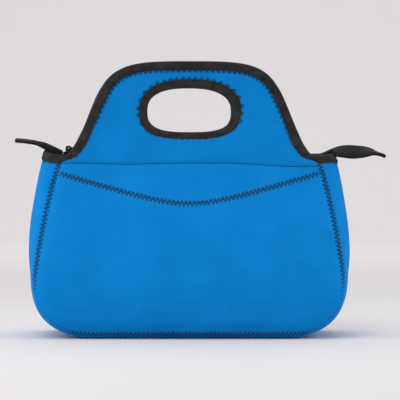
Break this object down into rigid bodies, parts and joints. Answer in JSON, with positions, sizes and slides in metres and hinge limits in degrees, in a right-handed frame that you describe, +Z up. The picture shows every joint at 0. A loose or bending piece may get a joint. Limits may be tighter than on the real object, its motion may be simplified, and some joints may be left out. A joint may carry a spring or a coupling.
{
  "type": "lunch box",
  "caption": "Soft insulated lunch tote with a zip mouth, a slip pocket on the front and two handles with oval grips, cut in one with the panels.",
  "frame": {"origin": "middle of the flat underside, which is the face it stands on", "axes": "+Z up; +X to the right when the pocket faces the viewer; the pocket faces -Y"},
  "size_m": [0.3818, 0.1476, 0.281],
  "materials": {
    "blue_neoprene": "matt nylon jersey over closed-cell neoprene foam",
    "black_binding": "matt woven folded tape",
    "black_tape": "matt woven polyester",
    "black_nylon": "moulded nylon with a soft shine",
    "black_metal": "black enamelled die casting"
  },
  "bodies": {
    "base": {"bottom_panel": "blue_neoprene", "left_gusset": "blue_neoprene", "right_gusset": "blue_neoprene", "left_gusset_binding": "black_binding", "right_gusset_binding": "black_binding", "left_zip_end": "black_tape", "right_zip_end": "black_tape", "zip_top_stop_front": "black_nylon", "zip_top_stop_back": "black_nylon", "zip_bottom_stop": "black_nylon"},
    "front_wall": {"front_panel": "blue_neoprene", "pocket_panel": "blue_neoprene", "pocket_band": "blue_neoprene", "front_zip_tape": "black_tape", "front_zip_coil": "black_nylon"},
    "back_wall": {"back_panel": "blue_neoprene", "back_zip_tape": "black_tape", "back_zip_coil": "black_nylon"},
    "front_handle": {"front_handle_panel": "blue_neoprene", "front_handle_binding": "black_binding", "front_grip_binding": "black_binding"},
    "back_handle": {"back_handle_panel": "blue_neoprene", "back_handle_binding": "black_binding", "back_grip_binding": "black_binding"},
    "slider": {"zip_slider": "black_metal"},
    "pull": {"zip_pull": "black_metal"},
    "left_tail": {"left_zip_tail": "black_binding"},
    "right_tail": {"right_zip_tail": "black_binding"}
  },
  "joints": [
    {"name": "front_wall_open", "type": "hinge", "parent": "base", "child": "front_wall", "pos_m": [0, -0.0645, 0.004], "axis": [1, 0, 0], "range_deg": [0, 8]},
    {"name": "back_wall_open", "type": "hinge", "parent": "base", "child": "back_wall", "pos_m": [0, 0.0645, 0.004], "axis": [-1, 0, 0], "range_deg": [0, 8]},
    {"name": "front_handle_fold", "type": "hinge", "parent": "front_wall", "child": "front_handle", "pos_m": [0, -0.017, 0.178], "axis": [1, 0, 0], "range_deg": [0, 82]},
    {"name": "back_handle_fold", "type": "hinge", "parent": "back_wall", "child": "back_handle", "pos_m": [0, 0.017, 0.178], "axis": [-1, 0, 0], "range_deg": [0, 82]},
    {"name": "zip_slide", "type": "slide", "parent": "base", "child": "slider", "axis": [1, 0, 0], "range_m": [0, 0.248]},
    {"name": "pull_swing", "type": "hinge", "parent": "slider", "child": "pull", "pos_m": [-0.124, 0, 0.1922], "axis": [0, -1, 0], "range_deg": [0, 150]},
    {"name": "left_tail_bend", "type": "hinge", "parent": "base", "child": "left_tail", "pos_m": [-0.15, 0, 0.1956], "axis": [0, 1, 0], "range_deg": [-30, 30]},
    {"name": "right_tail_bend", "type": "hinge", "parent": "base", "child": "right_tail", "pos_m": [0.15, 0, 0.1912], "axis": [0, -1, 0], "range_deg": [-30, 30]}
  ]
}
